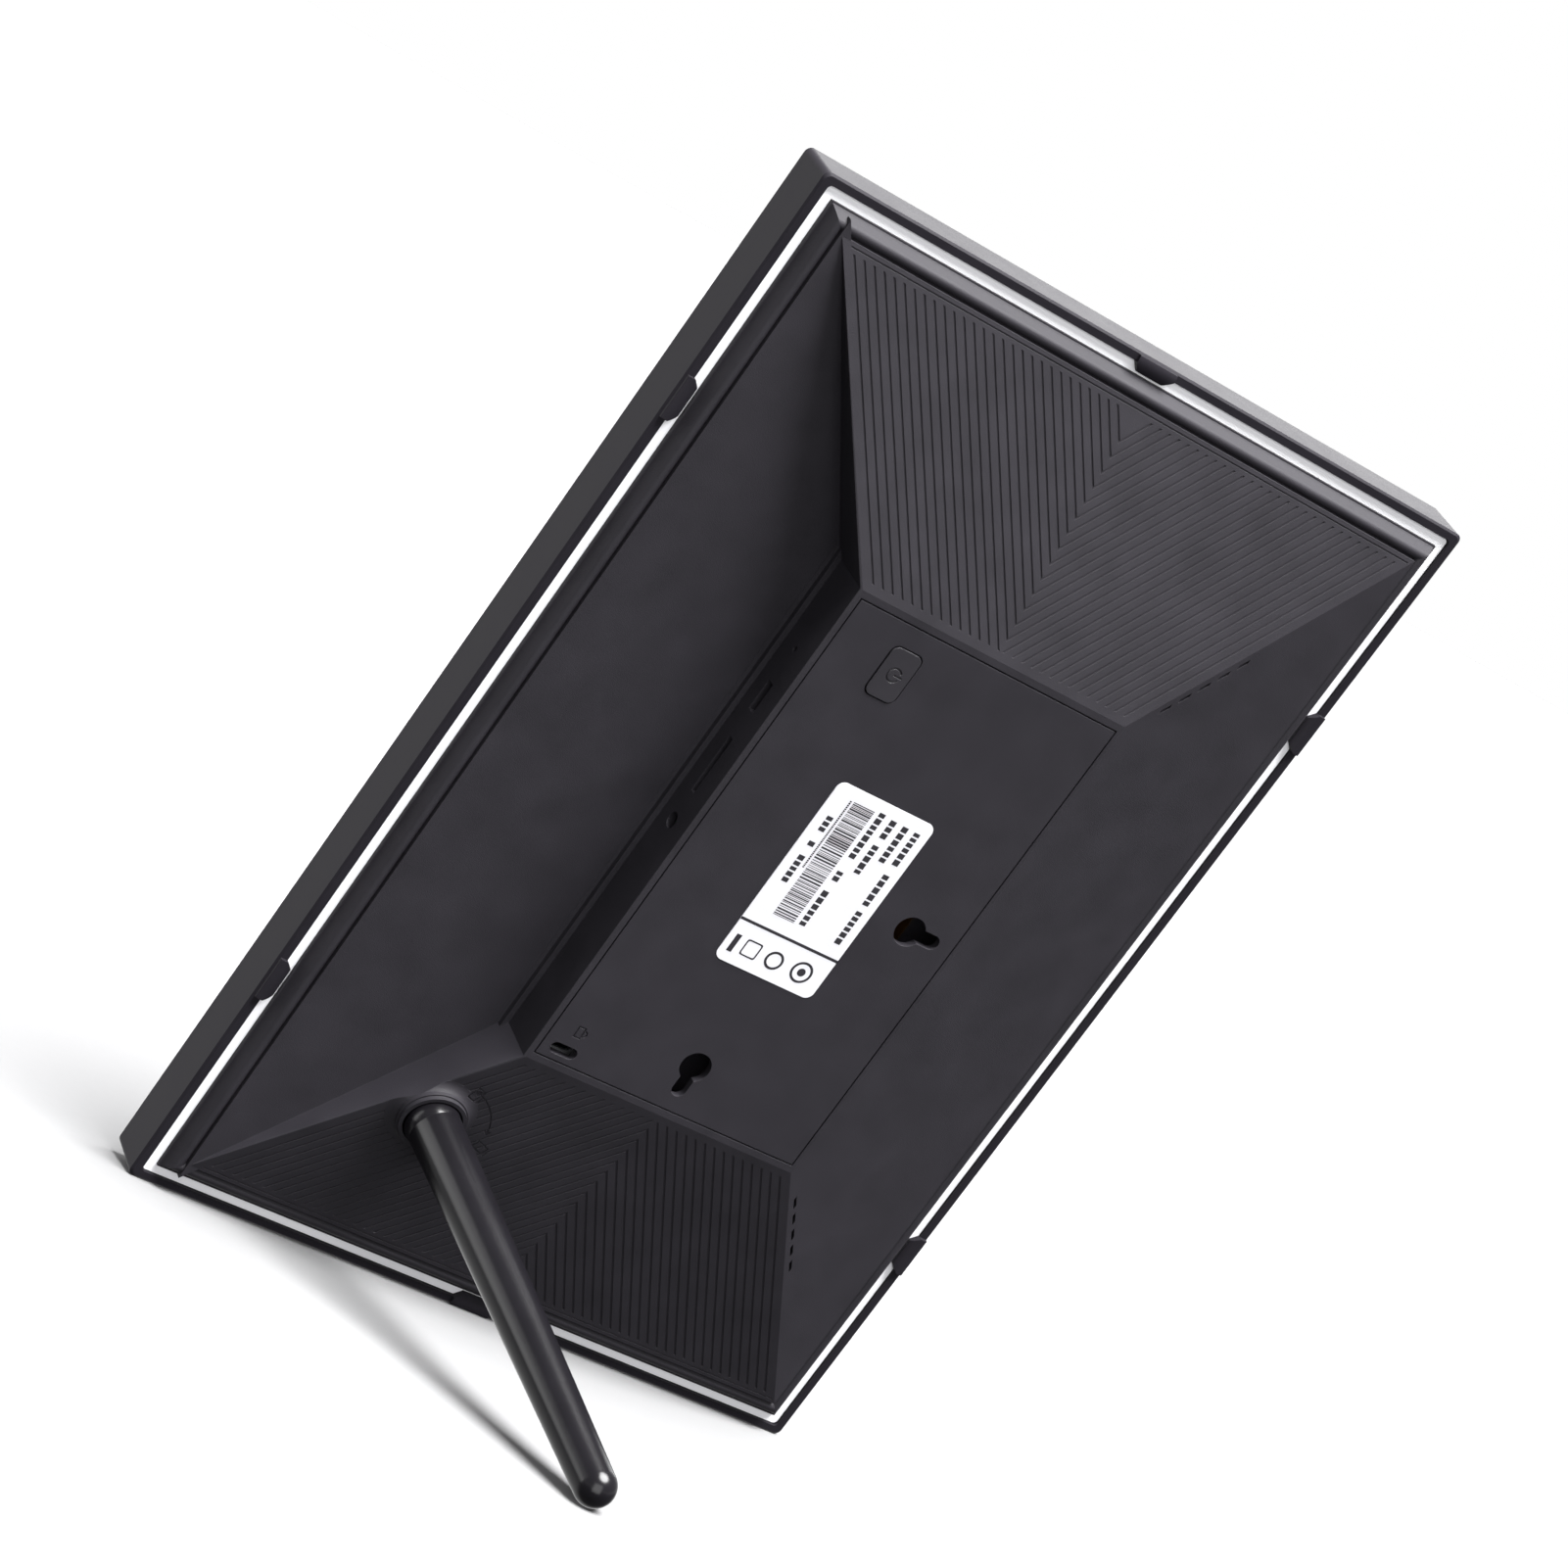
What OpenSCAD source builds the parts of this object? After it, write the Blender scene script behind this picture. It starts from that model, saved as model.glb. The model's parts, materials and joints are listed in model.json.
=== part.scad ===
// Digital photo frame with a plug-in rod stand, shown standing upright on its short end.
// Every piece is drawn lying flat first: x runs across the short side with the sockets at -x,
// y runs along the long side with the stand at -y, and z points out of the back, with z = 0 at
// the back rim of the frame. stand_up() then leans the flat model back on its stand.

/* [Frame] */
// Long side of the frame
frame_long = 266; // [225:1:320]
// Short side of the frame
frame_short = 181; // [160:1:220]
// Front face to back rim
frame_depth = 13.5; // [12:0.5:18]
// Width of the back rim, which is the side wall's thickness
rim_wall = 2.2; // [1.6:0.1:3]
// Width of the black border seen from the front
front_border = 9; // [6:0.5:14]
// Thickness of that border
lip_thick = 1.8; // [1.2:0.1:2.4]
// Radius of the four outer corners
corner_r = 1.6; // [1:0.1:3]
// Bevel along the outer edges
edge_bevel = 0.5; // [0.3:0.1:0.8]

/* [Screen] */
// Long side of the picture area
view_long = 217; // [180:1:222]
// Short side of the picture area
view_short = 136; // [110:1:140]
// Dead border round the picture inside the panel
panel_border = 6.3; // [4:0.1:8]
// Thickness of the cover glass
glass_thick = 1.1; // [0.7:0.1:1.8]
// Thickness of the foam gasket behind the glass
gasket_thick = 0.3; // [0.2:0.05:0.5]
// Thickness of the white mat
mat_thick = 1.5; // [1:0.1:2]
// Thickness of the white wall round the mat
mat_wall = 3.2; // [2.6:0.1:4]
// Depth of the white ledge below the back rim
ledge_drop = 0.8; // [0.6:0.1:2]
// Thickness of the liquid crystal panel
panel_thick = 1.2; // [0.8:0.1:2]
// Thickness of the backlight
backlight_thick = 1.6; // [1.2:0.1:2.5]

/* [Rear housing] */
// White gap between the rim and the housing
white_gap = 2.5; // [2:0.1:3]
// Width of the rolled bead round the housing
bead_w = 4.7; // [4.4:0.1:6]
// Height of the bead's crest above the back rim
bead_top = 3.1; // [2.8:0.1:3.4]
// Height where the sloping faces start
slope_start = 3.5; // [3.4:0.1:5]
// Height of the flat centre above the back rim
centre_top = 15.2; // [14:0.1:20]
// Long side of the flat centre
centre_long = 127; // [118:1:140]
// Short side of the flat centre
centre_short = 73.5; // [70:0.5:84]
// How far the flat centre sits off the middle, away from the sockets
centre_shift = 1.1; // [0:0.1:2]
// Wall thickness of the housing
shell = 1.9; // [1.4:0.1:2.4]

/* [Grooves] */
// Spacing of the herringbone grooves, measured along the bead
groove_pitch = 2.66; // [2.2:0.02:4]
// Width of a groove, measured along the bead
groove_w = 0.6; // [0.3:0.05:0.9]
// Depth of a groove
groove_depth = 0.2; // [0.15:0.05:0.5]
// Plain margin round the grooves
groove_margin = 2; // [1.6:0.1:3]
// Distance of the border line from the bead
border_gap = 0.7; // [0.5:0.05:0.9]
// Width of the border line
border_w = 0.3; // [0.2:0.05:0.5]

/* [Centre cover] */
// Thickness of the cover
cover_thick = 1.8; // [1.4:0.1:2.2]
// Open seam round the cover
cover_gap = 0.35; // [0.2:0.05:0.6]
// Rim of housing left along the cover's long sides
cover_inset = 1.2; // [0.8:0.1:2]
// Rim of housing left beyond the cover's short ends
cover_end = 2; // [1.5:0.1:3]
// Radius of the keyholes' round entry
key_head_r = 3.7; // [3.2:0.1:4.4]
// Radius of the keyholes' hanging end
key_slot_r = 1.8; // [1.4:0.1:2.2]
// Distance between the two
key_travel = 6.3; // [5:0.1:8]
// Length of the security lock slot
lock_long = 6.8; // [6:0.1:8]
// Width of the security lock slot
lock_wide = 2.8; // [2.4:0.1:3.4]
// Long side of the rating label
label_long = 48.5; // [36:0.5:54]
// Short side of the rating label
label_short = 26.7; // [20:0.1:30]

/* [Power button] */
// Long side of the button
button_long = 12.2; // [10:0.1:14]
// Short side of the button
button_short = 7.8; // [6.5:0.1:9]
// Gap round the button
button_gap = 0.3; // [0.2:0.05:0.5]
// How far the button goes in
button_travel = 0.6; // [0.3:0.05:0.8]

/* [Sockets] */
// Radius of the hole for the power plug
dc_hole_r = 1.9; // [1.6:0.1:2.4]
// Width of the small data socket's opening
usb_wide = 7.6; // [7:0.1:9]
// Height of the small data socket's opening
usb_high = 2.6; // [2.2:0.1:3]
// Width of the memory card slot
card_wide = 14.6; // [12:0.1:16]
// Height of the memory card slot
card_high = 1.8; // [1.4:0.1:2.2]
// Radius of the reset pinhole
reset_r = 0.7; // [0.5:0.05:1]

/* [Stand] */
// Distance of the stand socket from the short end of the frame
stand_inset = 46.3; // [44:0.1:50]
// Distance of the stand socket's middle from the edge of the socket recess
stand_from_edge = 7.35; // [7.2:0.05:11]
// Height of the socket's mouth above the sloping face
boss_high = 3.4; // [2.4:0.1:4.5]
// Radius of the socket's bore
socket_r = 6.6; // [5.5:0.1:7]
// Width of the fillet round the socket's foot
flare_w = 2.8; // [2:0.1:4]
// Depth of the socket's bore
socket_depth = 9; // [8:0.5:10]
// Radial gap between the rod's knuckle and the bore
knuckle_gap = 0.35; // [0.2:0.05:0.6]
// Radius of the pivot pin
pin_r = 3; // [2.4:0.1:3.4]
// Radial running clearance of the pin in its bush
pin_fit = 0.08; // [0.03:0.01:0.1]
// Length of the rod from the socket's mouth to the middle of its tip
rod_long = 96.5; // [80:0.5:115]
// How much the rod narrows from the knuckle to the tip
rod_taper = 1.35; // [0.8:0.05:1.8]
// Lean of the rod from its pivot axis
rod_lean = 16.3; // [12:0.1:22]

/* [Circuit board] */
// Long side of the main board
board_long = 89; // [80:1:100]
// Short side of the main board
board_short = 52; // [40:1:56]
// Thickness of the main board
board_thick = 1.2; // [0.8:0.1:1.6]
// Height of the middle of the sockets above the back rim
port_height = 7.9; // [7:0.1:9]

/* [Hidden] */
$fn = 64;

// How far a cutting tool reaches past the face it opens.
past = 0.5;
// Seat clearance of a loose inner piece.
seat = 0.15;

// Inside of the frame's side walls, and the white wall that fits there.
pocket_long = frame_long - 2 * rim_wall;
pocket_short = frame_short - 2 * rim_wall;
mat_long = pocket_long - 2 * seat;
mat_short = pocket_short - 2 * seat;
bay_long = mat_long - 2 * mat_wall;
bay_short = mat_short - 2 * mat_wall;

// Heights of the layers, from the front face backwards.
z_front = -frame_depth;
z_glass = z_front + lip_thick;
z_gasket = z_glass + glass_thick;
z_mat = z_gasket + gasket_thick;
z_panel = z_mat + mat_thick;
z_light = z_panel + panel_thick;
z_chassis = z_light + backlight_thick;
chassis_thick = 1.6;
z_deck = z_chassis + chassis_thick;
z_ledge = -ledge_drop;
panel_long = view_long + 2 * panel_border;
panel_short = view_short + 2 * panel_border;

// Housing outline, and where its sloping faces start and end.
house_long = pocket_long - 2 * white_gap;
house_short = pocket_short - 2 * white_gap;
slope_long = house_long - 2 * bead_w;
slope_short = house_short - 2 * bead_w;
centre_xa = centre_shift - centre_short / 2;
centre_xb = centre_shift + centre_short / 2;
end_angle = atan2(centre_top - slope_start, (slope_long - centre_long) / 2);

// Recess under the sockets: its wall, its ledge and its sloping floor.
wall_x = centre_xa - 0.6;
floor_x = wall_x - 2.4;
floor_z = 0.6;
step_z = 2;
step_w = 1.1;

// Centre cover and the pocket it lies in.
cover_long = centre_long - 2 * cover_end;
cover_xa = centre_xa + cover_inset;
cover_xb = centre_xb - cover_inset;
z_cover = centre_top - cover_thick;
tray_thick = 1.8;
z_tray = z_cover - tray_thick;
key_a = [centre_xb - 13, 0];
key_b = [0.9, -centre_long / 2 + 13.8];
lock_at = [cover_xa + 5.6, -cover_long / 2 + 2.8];
label_at = [0.9, 0];
button_at = [centre_xa + 18.3, centre_long / 2 - 13.3];
// Long screws that hold the housing, as places on the tray.
house_screws = [
    [cover_xa + 6.6, cover_long / 2 - 7.6], [cover_xb - 6.2, cover_long / 2 - 7.6],
    [cover_xa + 6.6, -cover_long / 2 + 14.6], [cover_xb - 6.2, -cover_long / 2 + 14.6]
];
cup_r = 4.4;
cup_deep = 2;
cup_floor = 1.6;
z_post = z_cover - cup_deep - cup_floor;
thread_r = 1.4;
thread_gap = 0.05;
head_r = 2.7;
head_high = 1.5;

// Circuit board: its top carries the sockets along the recess wall.
z_board_top = port_height - 1.5;
z_board = z_board_top - board_thick;
board_xa = wall_x + shell + 0.6;
board_ya = -32;
board_yb = board_ya + board_long;
board_xb = board_xa + board_short;
notch_x = cover_xa + 12;
notch_y = cover_long / 2 - 13.2;
board_holes = [
    [board_xa + 12, board_ya + 4], [board_xb - 4, board_ya + 4],
    [board_xb - 4, board_yb - 4], [board_xa + 14.5, board_yb - 19]
];
dc_y = -3;
card_y = 12.1;
usb_y = 30.5;
reset_y = 43.2;
switch_size = 6;
switch_high = 3.6;
plunger_r = 1.6;
plunger_gap = 0.1;

// Stand socket: its mouth lies parallel to the sloping face below it.
stand_y = -frame_long / 2 + stand_inset;
edge_slope = (slope_short / 2 + centre_xa) / ((slope_long - centre_long) / 2);
stand_x = centre_xa - (-centre_long / 2 - stand_y) * edge_slope
    + stand_from_edge * sqrt(1 + edge_slope * edge_slope);
face_z = centre_top - (-centre_long / 2 - stand_y) * tan(end_angle);
mouth = [stand_x, stand_y - boss_high * sin(end_angle), face_z + boss_high * cos(end_angle)];
boss_wall = 0.9;
flare_foot = 0.8;
socket_floor = 2.5;
bush_wall = 1.1;
bush_flange = 0.8;
wave_thick = 1.2;
plate_thick = 1;
washer_r = pin_r + 1.4;
pivot_play = 0.05;
z_pin = -socket_depth - socket_floor - wave_thick - pivot_play;
knuckle_r = socket_r - knuckle_gap;
rod_base_r = knuckle_r - 0.2;
rod_tip_r = rod_base_r - rod_taper;
stand_screw_r = 1.25;
stand_head_r = 2.8;

// Tip of the rod, and the lean that lets it and the frame's lower back edge share one floor.
rod_dir = [
    sin(rod_lean),
    -sin(end_angle) * cos(rod_lean),
    cos(end_angle) * cos(rod_lean)
];
tip = mouth + rod_long * rod_dir;
reach_y = tip[1] + frame_long / 2;
reach_z = tip[2] + edge_bevel;
lean = acos(rod_tip_r / norm([reach_y, reach_z])) - atan2(reach_z, reach_y);
floor_drop = frame_long / 2 * cos(lean) - edge_bevel * sin(lean);
rear_most = tip[1] * sin(lean) + tip[2] * cos(lean) + rod_tip_r;
front_most = -(frame_long / 2 - edge_bevel) * sin(lean) - frame_depth * cos(lean);

// Speakers sit behind the vents beside the two far hips.
hip_dx = (slope_short / 2 - centre_xb) / ((slope_long - centre_long) / 2);
mark_depth = 0.25;
vent_count = 5;
vent_pitch = 4.05;
vent_long = 2.3;
vent_wide = 1.1;
vent_from_hip = 2;
vent_first = centre_long / 2 + 7.1;
speaker_x = 50;
speaker_y = 80;
speaker_long = 30;
speaker_short = 20;
speaker_high = 6;

// Leans the flat model back, with its middle over the origin and its lower edge on z = 0.
module stand_up() {
    translate([0, -(rear_most + front_most) / 2, floor_drop])
        rotate([90 + lean, 0, 180])
            children();
}

// Rectangle with round corners, long side along y.
module round_rect(long, short, r) {
    square([short - 2 * r, long], center = true);
    square([short, long - 2 * r], center = true);
    for (x = [-1, 1])
        for (y = [-1, 1])
            translate([x * (short / 2 - r), y * (long / 2 - r)])
                circle(r);
}

// Flat plate with round corners, from height z upwards.
module plate(long, short, r, z, thick) {
    translate([0, 0, z])
        linear_extrude(thick)
            round_rect(long, short, r);
}

// Box given by two opposite corners.
module block(a, b) {
    translate(a)
        cube(b - a);
}

// Solid with four sloping sides, from one rectangle up to a smaller one.
module hip_roof(la, sa, za, lb, xa, xb, zb) {
    points = [
        [-sa / 2, -la / 2, za], [sa / 2, -la / 2, za], [sa / 2, la / 2, za], [-sa / 2, la / 2, za],
        [xa, -lb / 2, zb], [xb, -lb / 2, zb], [xb, lb / 2, zb], [xa, lb / 2, zb]
    ];
    faces = [
        [0, 1, 2, 3], [7, 6, 5, 4],
        [1, 0, 4, 5], [2, 1, 5, 6], [3, 2, 6, 7], [0, 3, 7, 4]
    ];
    polyhedron(points, faces);
}

// Keyhole outline: round entry, with a slot that runs along the given direction.
module keyhole(at, angle, head, slot, travel) {
    translate(at) {
        circle(head);
        rotate(angle) {
            translate([0, -slot])
                square([travel, 2 * slot]);
            translate([travel, 0])
                circle(slot);
        }
    }
}

// Pan-head screw with its head's underside at z = 0 and its shank going down.
module screw(shank_r, shank_long, top_r, top_high) {
    difference() {
        union() {
            cylinder(r = top_r, h = top_high);
            translate([0, 0, -shank_long])
                cylinder(r = shank_r, h = shank_long + 0.1);
        }
        for (a = [0, 90])
            rotate(a)
                translate([-top_r * 0.6, -top_r * 0.12, top_high * 0.5])
                    cube([top_r * 1.2, top_r * 0.24, top_high]);
    }
}

// Thin round lead through a list of points.
module lead(points, r) {
    for (i = [0 : len(points) - 2])
        hull()
            for (p = [points[i], points[i + 1]])
                translate(p)
                    sphere(r, $fn = 12);
}

// Frame: four mitred walls, a front border and six clips that hold the white mat.
clip_long = 10.5;
clip_tip = 7;
clip_high = 1;
clip_round = 3.2;
clip_reach = white_gap - 0.6;
clip_y = 0.29 * frame_long;

module frame_block() {
    hull() {
        plate(frame_long, frame_short, corner_r, z_front + edge_bevel, frame_depth - 2 * edge_bevel);
        plate(frame_long - 2 * edge_bevel, frame_short - 2 * edge_bevel, corner_r, z_front, frame_depth);
    }
}

// One clip: a rounded bump over the rim, with its ends cut back towards its tip.
module clip() {
    intersection() {
        translate([0, clip_long / 2, 0])
            rotate([90, 0, 0])
                linear_extrude(clip_long)
                    intersection() {
                        translate([-0.4, clip_high - clip_round])
                            circle(clip_round);
                        translate([-rim_wall + edge_bevel, z_ledge])
                            square([rim_wall - edge_bevel + clip_reach, clip_high + ledge_drop]);
                    }
        translate([0, 0, z_ledge - past])
            linear_extrude(clip_high + ledge_drop + 2 * past)
                polygon([
                    [-rim_wall, -clip_long / 2], [0, -clip_long / 2], [clip_reach, -clip_tip / 2],
                    [clip_reach, clip_tip / 2], [0, clip_long / 2], [-rim_wall, clip_long / 2]
                ]);
    }
}

module outer_frame() {
    color([0.16, 0.16, 0.17])
    stand_up() {
        difference() {
            frame_block();
            plate(pocket_long, pocket_short, 1, z_glass, frame_depth);
            plate(frame_long - 2 * front_border, frame_short - 2 * front_border, 0.5,
                z_front - past, frame_depth);
        }
        for (side = [-1, 1]) {
            for (y = [-clip_y, clip_y])
                translate([side * pocket_short / 2, y, 0])
                    rotate(side > 0 ? 180 : 0)
                        clip();
            translate([0, side * pocket_long / 2, 0])
                rotate(side > 0 ? -90 : 90)
                    clip();
        }
    }
}

// Screen stack.
module cover_glass() {
    color([0.10, 0.11, 0.13])
    stand_up()
        plate(mat_long, mat_short, 1, z_glass, glass_thick);
}

module glass_gasket() {
    color([0.05, 0.05, 0.05])
    stand_up()
        difference() {
            plate(mat_long - 1, mat_short - 1, 1, z_gasket, gasket_thick);
            plate(view_long + 24, view_short + 24, 1, z_gasket - past, gasket_thick + 2 * past);
        }
}

mat_boss_r = 3;
mat_bosses = [for (x = [-1, 1]) for (y = [-1, 0, 1])
    [x * (panel_short / 2 + 4.4), y * (view_long / 2 - 6)]];

module mat_panel() {
    color([0.93, 0.93, 0.95])
    stand_up()
        difference() {
            union() {
                difference() {
                    plate(mat_long, mat_short, 1, z_mat, z_ledge - z_mat);
                    plate(bay_long, bay_short, 0.5, z_panel, frame_depth);
                    plate(view_long, view_short, 0.5, z_mat - past, frame_depth);
                }
                for (p = mat_bosses)
                    translate([p[0], p[1], z_panel - 0.1])
                        cylinder(r = mat_boss_r, h = z_chassis - z_panel + 0.1);
            }
            for (p = mat_bosses)
                translate([p[0], p[1], z_mat + 0.8])
                    cylinder(r = thread_r + thread_gap, h = frame_depth);
        }
}

module lcd_glass() {
    color([0.06, 0.07, 0.09])
    stand_up()
        plate(panel_long, panel_short, 0.5, z_panel, panel_thick);
}

module backlight() {
    color([0.75, 0.76, 0.78])
    stand_up()
        plate(panel_long, panel_short, 0.5, z_light, backlight_thick);
}

// Inner chassis: a deck over the backlight with posts for the housing and the board.
post_r = 3.6;
rib_high = 1.4;

module inner_chassis() {
    color([0.20, 0.20, 0.22])
    stand_up()
        difference() {
            union() {
                plate(bay_long - 2 * seat, bay_short - 2 * seat, 0.5, z_chassis, chassis_thick);
                for (p = house_screws)
                    translate([p[0], p[1], z_deck - 0.1])
                        cylinder(r = post_r, h = z_post - z_deck + 0.1);
                for (p = board_holes)
                    translate([p[0], p[1], z_deck - 0.1])
                        cylinder(r = 2.8, h = z_board - z_deck + 0.1);
                for (y = [-1, 1])
                    translate([speaker_x, y * speaker_y, z_deck - 0.1])
                        difference() {
                            block([-speaker_short / 2 - 1.6, -speaker_long / 2 - 1.6, 0],
                                [speaker_short / 2 + 1.6, speaker_long / 2 + 1.6, rib_high + 0.1]);
                            block([-speaker_short / 2 - seat, -speaker_long / 2 - seat, -1],
                                [speaker_short / 2 + seat, speaker_long / 2 + seat, rib_high + 1]);
                        }
            }
            for (p = concat(house_screws, board_holes))
                translate([p[0], p[1], z_deck - 1])
                    cylinder(r = thread_r + thread_gap, h = z_post - z_deck + 2);
            for (p = mat_bosses)
                translate([p[0], p[1], z_chassis - past])
                    cylinder(r = thread_r + 0.3, h = chassis_thick + 2 * past);
        }
}

module chassis_screws() {
    color([0.55, 0.55, 0.58])
    stand_up()
        for (p = mat_bosses)
            translate([p[0], p[1], z_deck])
                screw(thread_r, chassis_thick + 3.4, head_r, 1.4);
}

// Rear housing.
// Section of the bead: a low outer edge, a ramp, a round crest and a narrow valley behind it.
edge_high = 0.1;
edge_w = 0.4;
crest_r = 1.3;
crest_at = 0.62;
valley_deep = 1.5;

module bead_section() {
    start = [edge_w, edge_high - z_ledge];
    crest = [crest_at * bead_w, bead_top - crest_r - z_ledge];
    valley = bead_top - valley_deep - z_ledge;
    reach = norm(crest - start);
    ramp = atan2(crest[1] - start[1], crest[0] - start[0]) + asin(crest_r / reach);
    ramp_long = sqrt(reach * reach - crest_r * crest_r);
    polygon([
        [0, 0], [0, start[1]], start,
        start + ramp_long * [cos(ramp), sin(ramp)], crest,
        [crest[0] + crest_r, crest[1]], [crest[0] + crest_r, valley],
        [bead_w + 0.2, valley], [bead_w + 0.2, 0]
    ]);
    translate(crest)
        circle(crest_r);
}

// Keeps the part of a straight bead that lies between its two mitres.
module mitred(long, short, turn) {
    intersection() {
        rotate(turn)
            children();
        translate([0, 0, z_ledge - past])
            linear_extrude(bead_top - z_ledge + 2 * past)
                polygon(turn % 180 == 0
                    ? [[-short / 2 * cos(turn), -long / 2], [-short / 2 * cos(turn), long / 2],
                        [0, long / 2 - short / 2], [0, short / 2 - long / 2]]
                    : [[-short / 2, -long / 2 * sin(turn)], [short / 2, -long / 2 * sin(turn)],
                        [0, -sin(turn) * (long / 2 - short / 2)]]);
    }
}

module bead() {
    for (turn = [0, 180])
        mitred(house_long, house_short, turn)
            translate([-house_short / 2, house_long / 2, z_ledge])
                rotate([90, 0, 0])
                    linear_extrude(house_long)
                        bead_section();
    for (turn = [90, 270])
        mitred(house_long, house_short, turn)
            translate([-house_long / 2, house_short / 2, z_ledge])
                rotate([90, 0, 0])
                    linear_extrude(house_short)
                        bead_section();
}

// Plan of the socket recess, grown by a wall thickness.
module recess_plan(grow) {
    far = slope_short / 2;
    run = (slope_long - centre_long) / 2;
    rise = far + wall_x;
    slant = grow * sqrt(run * run + rise * rise) / rise;
    polygon([
        [-far - 3 * past, slope_long / 2 + slant + 3 * past * run / rise],
        [wall_x + grow, slope_long / 2 - run + slant - grow * run / rise],
        [wall_x + grow, -slope_long / 2 + run - slant + grow * run / rise],
        [-far - 3 * past, -slope_long / 2 - slant - 3 * past * run / rise]
    ]);
}

// Side view of the recess, from its floor upwards.
module recess_side(lower) {
    top = centre_top + 4;
    slope = (slope_start - floor_z) / (slope_short / 2 + floor_x);
    far = slope_short / 2 + 3 * past;
    polygon([
        [-far, slope_start + 3 * past * slope - lower],
        [floor_x, floor_z - lower],
        [floor_x, step_z - 1.5 - lower],
        [floor_x + step_w, step_z - 1.5 - lower],
        [floor_x + step_w, step_z - lower],
        [wall_x + past, step_z - lower],
        [wall_x + past, top],
        [-far, top]
    ]);
}

module recess_cut() {
    intersection() {
        translate([0, 0, floor_z - 2])
            linear_extrude(centre_top + 6)
                recess_plan(0);
        translate([0, frame_long / 2, 0])
            rotate([90, 0, 0])
                linear_extrude(frame_long)
                    recess_side(0);
    }
}

module recess_walls() {
    intersection() {
        hip_roof(slope_long, slope_short, slope_start, centre_long, centre_xa, centre_xb, centre_top);
        translate([0, 0, floor_z - shell])
            linear_extrude(centre_top + 6)
                recess_plan(shell);
    }
    intersection() {
        translate([0, 0, z_ledge])
            linear_extrude(slope_start - z_ledge)
                recess_plan(shell);
        translate([0, frame_long / 2, 0])
            rotate([90, 0, 0])
                linear_extrude(frame_long)
                    polygon([
                        [-slope_short / 2 - past, slope_start - shell],
                        [floor_x, floor_z - shell], [wall_x + shell, floor_z - shell],
                        [wall_x + shell, slope_start], [-slope_short / 2 - past, slope_start]
                    ]);
    }
}

// One chevron groove on a sloping end face, parallel to both of the face's hips.
face_run = (slope_long - centre_long) / 2 / cos(end_angle);
near_lean = (slope_short / 2 + centre_xa) / face_run;
far_lean = (slope_short / 2 - centre_xb) / face_run;
groove_count = floor((slope_short / 2 - 2 * groove_margin) / groove_pitch);

// Where the two arms of a chevron meet, given their distance from the middle at the bead.
function apex(s) = [s * (near_lean - far_lean), 2 * s] / (near_lean + far_lean);

module chevron(k) {
    b = slope_short / 2 - k * groove_pitch;
    a = b - groove_w;
    low = groove_margin;
    high = face_run - groove_margin;
    if (apex(a)[1] < high)
        polygon([
            [a - low * far_lean, low], [b - low * far_lean, low], apex(b),
            [low * near_lean - b, low], [low * near_lean - a, low], apex(a)
        ]);
    else
        for (side = [[1, far_lean], [-1, near_lean]])
            polygon([
                [side[0] * (a - low * side[1]), low], [side[0] * (b - low * side[1]), low],
                [side[0] * (b - high * side[1]), high], [side[0] * (a - high * side[1]), high]
            ]);
}

// Fine line that sets the face off from the bead.
module border_line() {
    low = border_gap;
    high = border_gap + border_w;
    half = slope_short / 2 - border_gap;
    polygon([
        [low * near_lean - half, low], [half - low * far_lean, low],
        [half - high * far_lean, high], [high * near_lean - half, high]
    ]);
}

// Places its children on the sloping end face, with y up the slope from the bead.
module on_end_face(turn) {
    mirror([0, turn, 0])
        translate([0, -slope_long / 2, slope_start])
            rotate([end_angle, 0, 0])
                children();
}

module grooves() {
    for (turn = [0, 1])
        on_end_face(turn)
            translate([0, 0, -groove_depth])
                linear_extrude(groove_depth + 1) {
                    border_line();
                    for (k = [1 : groove_count])
                        chevron(k);
                }
}

// Engraved marks beside the stand: two small frames, upright and lying, and an arrow between.
module small_frame(long, short, line) {
    difference() {
        square([short, long], center = true);
        square([short - 2 * line, long - 2 * line], center = true);
    }
    translate([short / 2 + 0.5, -long / 2])
        square([line, long * 0.6]);
}

module turn_arrow(r, line, from, to) {
    intersection() {
        difference() {
            circle(r + line / 2);
            circle(r - line / 2);
        }
        polygon([[0, 0], 2 * r * [cos(from), sin(from)], 2 * r * [cos(to), sin(to)]]);
    }
    for (end = [[from, -1], [to, 1]])
        rotate(end[0])
            translate([r, 0])
                polygon([[-0.9, -end[1] * 0.2], [0.9, -end[1] * 0.2], [0, end[1] * 1.2]]);
}

module stand_marks() {
    line = 0.35;
    on_end_face(0)
        translate([stand_x, (stand_y + slope_long / 2) / cos(end_angle), -mark_depth])
            linear_extrude(1) {
                translate([2, -2.2])
                    turn_arrow(12.7, line, 16, 72);
                translate([5.6, 9.4])
                    rotate(-20)
                        small_frame(3.6, 2.4, line);
                translate([15.4, -3.2])
                    rotate(-20)
                        small_frame(2.4, 3.6, line);
            }
}

// Vent slots in the long sloping face, in a row along each far hip.
module vents() {
    for (side = [-1, 1])
        for (i = [0 : vent_count - 1]) {
            y = vent_first + i * vent_pitch;
            x = centre_xb + (y - centre_long / 2) * hip_dx + vent_from_hip;
            a = [vent_long / 2 * hip_dx, vent_long / 2];
            b = [0, vent_wide / 2];
            mirror([0, side > 0 ? 0 : 1, 0])
                translate([x, y, slope_start - shell])
                    linear_extrude(centre_top)
                        polygon([-a - b, a - b, a + b, -a + b]);
        }
}

module at_mouth() {
    translate(mouth)
        rotate([end_angle, 0, 0])
            children();
}

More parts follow.
